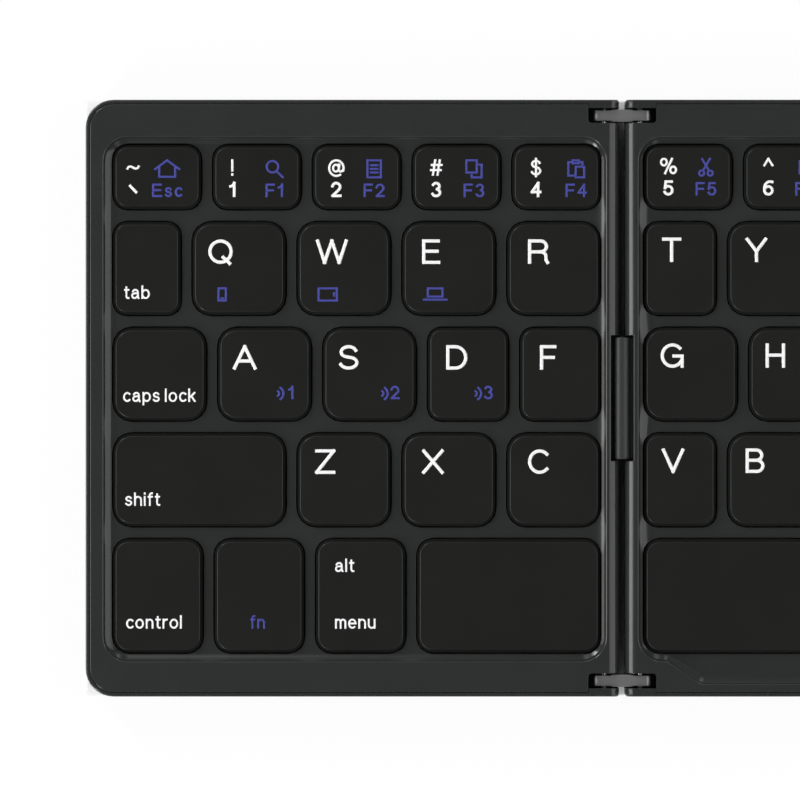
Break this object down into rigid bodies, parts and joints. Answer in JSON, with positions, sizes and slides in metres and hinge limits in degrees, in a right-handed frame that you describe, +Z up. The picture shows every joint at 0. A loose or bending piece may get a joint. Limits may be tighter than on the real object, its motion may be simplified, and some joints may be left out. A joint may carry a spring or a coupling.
{
  "type": "folding keyboard",
  "caption": "Slim wireless keyboard in three panels: two wings on pinned links fold up and over the centre panel; keys sit in a shallow well, with a touchpad on the right wing.",
  "frame": {"origin": "middle of the whole keyboard, laid flat, at the plane its feet stand on", "axes": "+X to the user's right along the long side, +Y towards the rear edge, +Z up"},
  "size_m": [0.304, 0.098, 0.008],
  "materials": {
    "shell_plastic": "fine-textured black moulding",
    "case_plastic": "fine-textured black moulding",
    "key_plastic": "matt black moulding with printed legends",
    "click_plastic": "matt black moulding",
    "plate_steel": "stamped sheet",
    "dome_rubber": "black silicone",
    "board_laminate": "circuit board",
    "port_steel": "drawn sheet",
    "lens_plastic": "clear milky plastic",
    "foot_rubber": "black rubber",
    "magnet_metal": "nickel plated",
    "bridge_plastic": "soft black moulding",
    "pad_film": "fine matt film",
    "battery_foil": "pouch cell foil",
    "link_metal": "cast and bead-blasted",
    "pin_steel": "drawn wire"
  },
  "bodies": {
    "centre_panel": {"centre_frame": "shell_plastic", "centre_bottom_case": "case_plastic", "centre_switch_plate": "plate_steel", "centre_dome_sheet": "dome_rubber", "controller_board": "board_laminate", "charging_port": "port_steel", "indicator_lens": "lens_plastic", "centre_feet": "foot_rubber", "centre_magnets": "magnet_metal", "left_cable_bridge": "bridge_plastic", "right_cable_bridge": "bridge_plastic"},
    "left_links": {"left_hinge_links": "link_metal", "left_hinge_pins": "pin_steel"},
    "left_wing": {"left_frame": "shell_plastic", "left_bottom_case": "case_plastic", "left_switch_plate": "plate_steel", "left_dome_sheet": "dome_rubber", "left_feet": "foot_rubber", "left_magnets": "magnet_metal"},
    "right_links": {"right_hinge_links": "link_metal", "right_hinge_pins": "pin_steel"},
    "right_wing": {"right_frame": "shell_plastic", "right_bottom_case": "case_plastic", "touchpad_plate": "pad_film", "touchpad_board": "board_laminate", "click_switch_board": "board_laminate", "battery": "battery_foil", "right_feet": "foot_rubber", "right_magnets": "magnet_metal"},
    "key_esc": {"key_esc": "key_plastic"},
    "key_1": {"key_1": "key_plastic"},
    "key_2": {"key_2": "key_plastic"},
    "key_3": {"key_3": "key_plastic"},
    "key_4": {"key_4": "key_plastic"},
    "key_tab": {"key_tab": "key_plastic"},
    "key_q": {"key_q": "key_plastic"},
    "key_w": {"key_w": "key_plastic"},
    "key_e": {"key_e": "key_plastic"},
    "key_r": {"key_r": "key_plastic"},
    "key_caps_lock": {"key_caps_lock": "key_plastic"},
    "key_a": {"key_a": "key_plastic"},
    "key_s": {"key_s": "key_plastic"},
    "key_d": {"key_d": "key_plastic"},
    "key_f": {"key_f": "key_plastic"},
    "key_left_shift": {"key_left_shift": "key_plastic"},
    "key_z": {"key_z": "key_plastic"},
    "key_x": {"key_x": "key_plastic"},
    "key_c": {"key_c": "key_plastic"},
    "key_control": {"key_control": "key_plastic"},
    "key_fn": {"key_fn": "key_plastic"},
    "key_left_alt": {"key_left_alt": "key_plastic"},
    "key_left_space": {"key_left_space": "key_plastic"},
    "keys_number_row": {"keys_number_row": "key_plastic"},
    "keys_upper_row": {"keys_upper_row": "key_plastic"},
    "keys_home_row": {"keys_home_row": "key_plastic"},
    "keys_lower_row": {"keys_lower_row": "key_plastic"},
    "key_right_space": {"key_right_space": "key_plastic"},
    "keys_alt_and_arrows": {"keys_alt_and_arrows": "key_plastic"},
    "left_click_button": {"left_click_button": "click_plastic"},
    "right_click_button": {"right_click_button": "click_plastic"}
  },
  "joints": [
    {"name": "left_wing_fold", "type": "hinge", "parent": "left_links", "child": "left_wing", "pos_m": [-0.06691, 0, 0.0052], "axis": [0, 1, 0], "range_deg": [0, 90], "deforming": ["left_cable_bridge"]},
    {"name": "right_wing_fold", "type": "hinge", "parent": "right_links", "child": "right_wing", "pos_m": [0.09185, 0, 0.0052], "axis": [0, -1, 0], "range_deg": [0, 90], "deforming": ["right_cable_bridge"]},
    {"name": "left_link_swing", "type": "hinge", "parent": "centre_panel", "child": "left_links", "pos_m": [-0.06091, 0, 0.0052], "axis": [0, 1, 0], "range_deg": [0, 90]},
    {"name": "right_link_swing", "type": "hinge", "parent": "centre_panel", "child": "right_links", "pos_m": [0.08585, 0, 0.0052], "axis": [0, -1, 0], "range_deg": [0, 90]},
    {"name": "key_esc_press", "type": "slide", "parent": "left_wing", "child": "key_esc", "axis": [0, 0, -1], "range_m": [0, 0.001], "stiffness_N_per_m": 400, "deforming": ["left_dome_sheet"]},
    {"name": "key_1_press", "type": "slide", "parent": "left_wing", "child": "key_1", "axis": [0, 0, -1], "range_m": [0, 0.001], "stiffness_N_per_m": 400},
    {"name": "key_2_press", "type": "slide", "parent": "left_wing", "child": "key_2", "axis": [0, 0, -1], "range_m": [0, 0.001], "stiffness_N_per_m": 400},
    {"name": "key_3_press", "type": "slide", "parent": "left_wing", "child": "key_3", "axis": [0, 0, -1], "range_m": [0, 0.001], "stiffness_N_per_m": 400},
    {"name": "key_4_press", "type": "slide", "parent": "left_wing", "child": "key_4", "axis": [0, 0, -1], "range_m": [0, 0.001], "stiffness_N_per_m": 400},
    {"name": "key_tab_press", "type": "slide", "parent": "left_wing", "child": "key_tab", "axis": [0, 0, -1], "range_m": [0, 0.001], "stiffness_N_per_m": 400},
    {"name": "key_q_press", "type": "slide", "parent": "left_wing", "child": "key_q", "axis": [0, 0, -1], "range_m": [0, 0.001], "stiffness_N_per_m": 400},
    {"name": "key_w_press", "type": "slide", "parent": "left_wing", "child": "key_w", "axis": [0, 0, -1], "range_m": [0, 0.001], "stiffness_N_per_m": 400},
    {"name": "key_e_press", "type": "slide", "parent": "left_wing", "child": "key_e", "axis": [0, 0, -1], "range_m": [0, 0.001], "stiffness_N_per_m": 400},
    {"name": "key_r_press", "type": "slide", "parent": "left_wing", "child": "key_r", "axis": [0, 0, -1], "range_m": [0, 0.001], "stiffness_N_per_m": 400},
    {"name": "key_caps_lock_press", "type": "slide", "parent": "left_wing", "child": "key_caps_lock", "axis": [0, 0, -1], "range_m": [0, 0.001], "stiffness_N_per_m": 400},
    {"name": "key_a_press", "type": "slide", "parent": "left_wing", "child": "key_a", "axis": [0, 0, -1], "range_m": [0, 0.001], "stiffness_N_per_m": 400},
    {"name": "key_s_press", "type": "slide", "parent": "left_wing", "child": "key_s", "axis": [0, 0, -1], "range_m": [0, 0.001], "stiffness_N_per_m": 400},
    {"name": "key_d_press", "type": "slide", "parent": "left_wing", "child": "key_d", "axis": [0, 0, -1], "range_m": [0, 0.001], "stiffness_N_per_m": 400},
    {"name": "key_f_press", "type": "slide", "parent": "left_wing", "child": "key_f", "axis": [0, 0, -1], "range_m": [0, 0.001], "stiffness_N_per_m": 400},
    {"name": "key_left_shift_press", "type": "slide", "parent": "left_wing", "child": "key_left_shift", "axis": [0, 0, -1], "range_m": [0, 0.001], "stiffness_N_per_m": 400},
    {"name": "key_z_press", "type": "slide", "parent": "left_wing", "child": "key_z", "axis": [0, 0, -1], "range_m": [0, 0.001], "stiffness_N_per_m": 400},
    {"name": "key_x_press", "type": "slide", "parent": "left_wing", "child": "key_x", "axis": [0, 0, -1], "range_m": [0, 0.001], "stiffness_N_per_m": 400},
    {"name": "key_c_press", "type": "slide", "parent": "left_wing", "child": "key_c", "axis": [0, 0, -1], "range_m": [0, 0.001], "stiffness_N_per_m": 400},
    {"name": "key_control_press", "type": "slide", "parent": "left_wing", "child": "key_control", "axis": [0, 0, -1], "range_m": [0, 0.001], "stiffness_N_per_m": 400},
    {"name": "key_fn_press", "type": "slide", "parent": "left_wing", "child": "key_fn", "axis": [0, 0, -1], "range_m": [0, 0.001], "stiffness_N_per_m": 400},
    {"name": "key_left_alt_press", "type": "slide", "parent": "left_wing", "child": "key_left_alt", "axis": [0, 0, -1], "range_m": [0, 0.001], "stiffness_N_per_m": 400},
    {"name": "key_left_space_press", "type": "slide", "parent": "left_wing", "child": "key_left_space", "axis": [0, 0, -1], "range_m": [0, 0.001], "stiffness_N_per_m": 400},
    {"name": "keys_number_row_press", "type": "slide", "parent": "centre_panel", "child": "keys_number_row", "axis": [0, 0, -1], "range_m": [0, 0.001], "stiffness_N_per_m": 400, "deforming": ["centre_dome_sheet"]},
    {"name": "keys_upper_row_press", "type": "slide", "parent": "centre_panel", "child": "keys_upper_row", "axis": [0, 0, -1], "range_m": [0, 0.001], "stiffness_N_per_m": 400},
    {"name": "keys_home_row_press", "type": "slide", "parent": "centre_panel", "child": "keys_home_row", "axis": [0, 0, -1], "range_m": [0, 0.001], "stiffness_N_per_m": 400},
    {"name": "keys_lower_row_press", "type": "slide", "parent": "centre_panel", "child": "keys_lower_row", "axis": [0, 0, -1], "range_m": [0, 0.001], "stiffness_N_per_m": 400},
    {"name": "key_right_space_press", "type": "slide", "parent": "centre_panel", "child": "key_right_space", "axis": [0, 0, -1], "range_m": [0, 0.001], "stiffness_N_per_m": 400},
    {"name": "keys_alt_and_arrows_press", "type": "slide", "parent": "centre_panel", "child": "keys_alt_and_arrows", "axis": [0, 0, -1], "range_m": [0, 0.001], "stiffness_N_per_m": 400},
    {"name": "left_click_button_press", "type": "slide", "parent": "right_wing", "child": "left_click_button", "axis": [0, 0, -1], "range_m": [0, 0.0006], "stiffness_N_per_m": 400},
    {"name": "right_click_button_press", "type": "slide", "parent": "right_wing", "child": "right_click_button", "axis": [0, 0, -1], "range_m": [0, 0.0006], "stiffness_N_per_m": 400}
  ]
}
